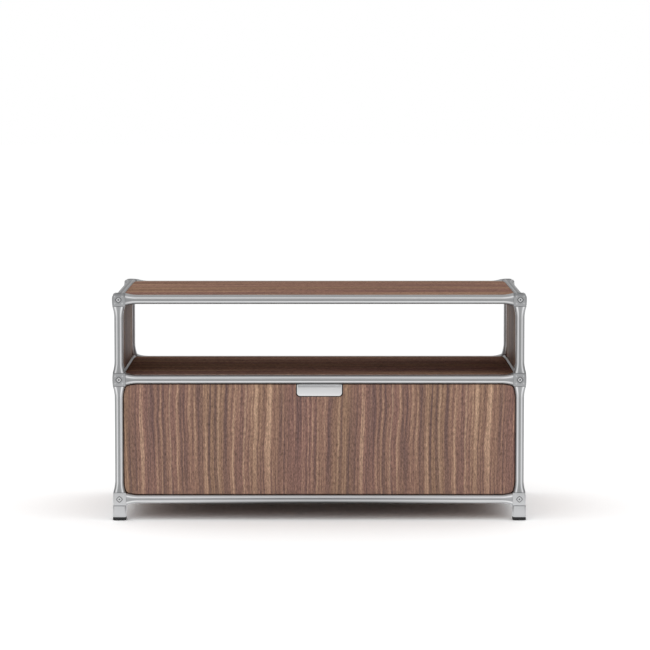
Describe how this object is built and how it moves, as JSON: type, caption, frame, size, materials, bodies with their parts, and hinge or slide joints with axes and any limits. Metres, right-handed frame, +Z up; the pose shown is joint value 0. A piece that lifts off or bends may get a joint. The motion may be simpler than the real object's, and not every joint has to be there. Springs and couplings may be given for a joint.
{
  "type": "audio equipment rack",
  "caption": "Low two-tier audio rack: cast aluminium rods and cube connectors, walnut panels, an open upper shelf and a drop-front flap with a recessed grip.",
  "frame": {"origin": "on the floor, under the middle of the rack", "axes": "+X to the right along the width, +Y from the flap at the front to the back panel, +Z up"},
  "size_m": [0.93, 0.48, 0.513],
  "materials": {
    "frame_aluminium": "satin cast",
    "walnut": "matt veneer",
    "pad_rubber": "matt",
    "hardware_steel": "bright zinc",
    "catch_plastic": "matt"
  },
  "bodies": {
    "frame": {"connector_bottom_front_left": "frame_aluminium", "connector_bottom_front_right": "frame_aluminium", "connector_bottom_back_left": "frame_aluminium", "connector_bottom_back_right": "frame_aluminium", "connector_middle_front_left": "frame_aluminium", "connector_middle_front_right": "frame_aluminium", "connector_middle_back_left": "frame_aluminium", "connector_middle_back_right": "frame_aluminium", "connector_top_front_left": "frame_aluminium", "connector_top_front_right": "frame_aluminium", "connector_top_back_left": "frame_aluminium", "connector_top_back_right": "frame_aluminium", "rod_bottom_front": "frame_aluminium", "rod_bottom_back": "frame_aluminium", "rod_bottom_left": "frame_aluminium", "rod_bottom_right": "frame_aluminium", "rod_middle_front": "frame_aluminium", "rod_middle_back": "frame_aluminium", "rod_middle_left": "frame_aluminium", "rod_middle_right": "frame_aluminium", "rod_top_front": "frame_aluminium", "rod_top_back": "frame_aluminium", "rod_top_left": "frame_aluminium", "rod_top_right": "frame_aluminium", "post_lower_front_left": "frame_aluminium", "post_lower_front_right": "frame_aluminium", "post_lower_back_left": "frame_aluminium", "post_lower_back_right": "frame_aluminium", "post_upper_front_left": "frame_aluminium", "post_upper_front_right": "frame_aluminium", "post_upper_back_left": "frame_aluminium", "post_upper_back_right": "frame_aluminium", "foot_front_left": "frame_aluminium", "foot_pad_front_left": "pad_rubber", "foot_front_right": "frame_aluminium", "foot_pad_front_right": "pad_rubber", "foot_back_left": "frame_aluminium", "foot_pad_back_left": "pad_rubber", "foot_back_right": "frame_aluminium", "foot_pad_back_right": "pad_rubber", "bottom_panel": "walnut", "middle_shelf": "walnut", "top_panel": "walnut", "side_panel_lower_left": "walnut", "side_panel_lower_right": "walnut", "side_panel_upper_left": "walnut", "side_panel_upper_right": "walnut", "back_panel": "walnut", "magnetic_catch": "catch_plastic", "hinge_bracket_left": "hardware_steel", "hinge_bracket_right": "hardware_steel"},
    "flap": {"flap_panel": "walnut", "flap_grip": "frame_aluminium", "strike_plate": "hardware_steel", "flap_strap_left": "hardware_steel", "flap_strap_right": "hardware_steel"},
    "left_arm": {"stay_arm_left": "hardware_steel"},
    "left_link": {"stay_link_left": "hardware_steel"},
    "right_arm": {"stay_arm_right": "hardware_steel"},
    "right_link": {"stay_link_right": "hardware_steel"}
  },
  "joints": [
    {"name": "flap_hinge", "type": "hinge", "parent": "frame", "child": "flap", "pos_m": [0, -0.2265, 0.0992], "axis": [1, 0, 0], "range_deg": [0, 90]},
    {"name": "left_arm_hinge", "type": "hinge", "parent": "frame", "child": "left_arm", "pos_m": [-0.4033, -0.1665, 0.1142], "axis": [1, 0, 0], "range_deg": [0, 90]},
    {"name": "left_link_hinge", "type": "hinge", "parent": "left_arm", "child": "left_link", "pos_m": [-0.4066, -0.1495, 0.2342], "axis": [1, 0, 0], "range_deg": [-90, 0]},
    {"name": "right_arm_hinge", "type": "hinge", "parent": "frame", "child": "right_arm", "pos_m": [0.4033, -0.1665, 0.1142], "axis": [1, 0, 0], "range_deg": [0, 90]},
    {"name": "right_link_hinge", "type": "hinge", "parent": "right_arm", "child": "right_link", "pos_m": [0.4066, -0.1495, 0.2342], "axis": [1, 0, 0], "range_deg": [-90, 0]}
  ],
  "couplings": [
    {"joint": "left_arm_hinge", "follows": "flap_hinge", "ratio": 1},
    {"joint": "left_link_hinge", "follows": "flap_hinge", "ratio": -1},
    {"joint": "right_arm_hinge", "follows": "flap_hinge", "ratio": 1},
    {"joint": "right_link_hinge", "follows": "flap_hinge", "ratio": -1}
  ]
}
